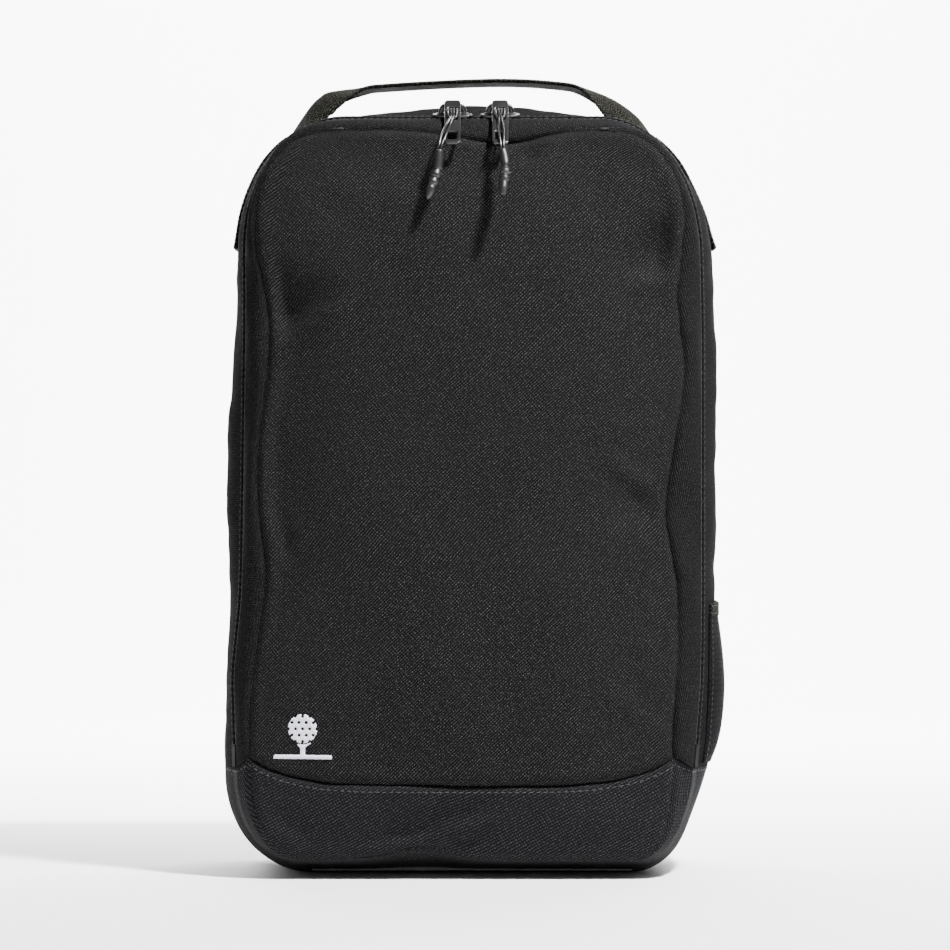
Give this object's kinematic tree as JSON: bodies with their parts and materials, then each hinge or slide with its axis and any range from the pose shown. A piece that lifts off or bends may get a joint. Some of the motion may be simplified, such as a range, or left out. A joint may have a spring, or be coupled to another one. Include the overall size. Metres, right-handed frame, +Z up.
{
  "type": "shoe bag",
  "caption": "Upright woven shoe bag with a zipped fold-down front, cord zip pulls, webbing top handle, mesh side pocket and coarse-weave base.",
  "frame": {"origin": "centre of the flat base, on the surface that the bag stands on", "axes": "+Z up along the bag's height, -Y out of the front panel, +X to the right as seen from the front"},
  "size_m": [0.2382, 0.1322, 0.374],
  "materials": {
    "woven_polyester": "black woven polyester with a fine twill",
    "coarse_weave": "black coarse basket-weave polyester",
    "mesh_net": "black knitted mesh",
    "lining": "black woven binding tape",
    "zip_tape": "black woven zip tape",
    "zip_coil": "black nylon coil",
    "webbing": "black ribbed webbing",
    "board_plastic": "black polyethylene board",
    "slider_metal": "black gloss enamel on die-cast zinc",
    "pull_cord": "black braided cord",
    "pull_rubber": "black moulded rubber",
    "embroidery": "pale lilac satin-stitch thread"
  },
  "bodies": {
    "bag": {"rear_gusset": "woven_polyester", "base_gusset": "coarse_weave", "front_base_panel": "coarse_weave", "back_panel": "woven_polyester", "back_base_panel": "coarse_weave", "base_board": "board_plastic", "front_base_binding": "lining", "rear_binding": "lining", "rear_zip_tape": "zip_tape", "rear_zip_coil": "zip_coil", "zip_end_tab_left": "zip_tape", "zip_end_tab_right": "zip_tape", "handle_end_left": "webbing", "handle_end_right": "webbing", "side_pocket": "mesh_net", "side_pocket_hem": "webbing"},
    "flap": {"front_panel": "woven_polyester", "front_gusset": "woven_polyester", "front_zip_tape": "zip_tape", "front_zip_coil": "zip_coil", "front_binding": "lining"},
    "slider_left": {"slider_left": "slider_metal"},
    "slider_right": {"slider_right": "slider_metal"},
    "puller_left": {"puller_left": "slider_metal"},
    "puller_right": {"puller_right": "slider_metal"},
    "pull_left": {"cord_left": "pull_cord", "sleeve_left": "pull_rubber"},
    "pull_right": {"cord_right": "pull_cord", "sleeve_right": "pull_rubber"},
    "handle": {"handle_strap": "webbing"}
  },
  "joints": [
    {"name": "flap_hinge", "type": "hinge", "parent": "bag", "child": "flap", "pos_m": [0, -0.05898, 0.05], "axis": [1, 0, 0], "range_deg": [0, 90]},
    {"name": "slider_left_slide", "type": "slide", "parent": "flap", "child": "slider_left", "axis": [-1, 0, 0], "range_m": [0, 0.034]},
    {"name": "slider_right_slide", "type": "slide", "parent": "flap", "child": "slider_right", "axis": [1, 0, 0], "range_m": [0, 0.032]},
    {"name": "puller_left_swing", "type": "hinge", "parent": "slider_left", "child": "puller_left", "pos_m": [-0.009, -0.03916, 0.35788], "axis": [-1, 0, 0], "range_deg": [0, 120]},
    {"name": "pull_left_swing", "type": "hinge", "parent": "puller_left", "child": "pull_left", "pos_m": [-0.009, -0.04672, 0.35322], "axis": [-1, 0, 0], "range_deg": [0, 45]},
    {"name": "puller_right_swing", "type": "hinge", "parent": "slider_right", "child": "puller_right", "pos_m": [0.013, -0.03916, 0.35788], "axis": [-1, 0, 0], "range_deg": [0, 120]},
    {"name": "pull_right_swing", "type": "hinge", "parent": "puller_right", "child": "pull_right", "pos_m": [0.013, -0.04672, 0.35322], "axis": [-1, 0, 0], "range_deg": [0, 45]},
    {"name": "handle_swing", "type": "hinge", "parent": "bag", "child": "handle", "pos_m": [0, 0.005, 0.3605], "axis": [1, 0, 0], "range_deg": [-35, 35]}
  ]
}
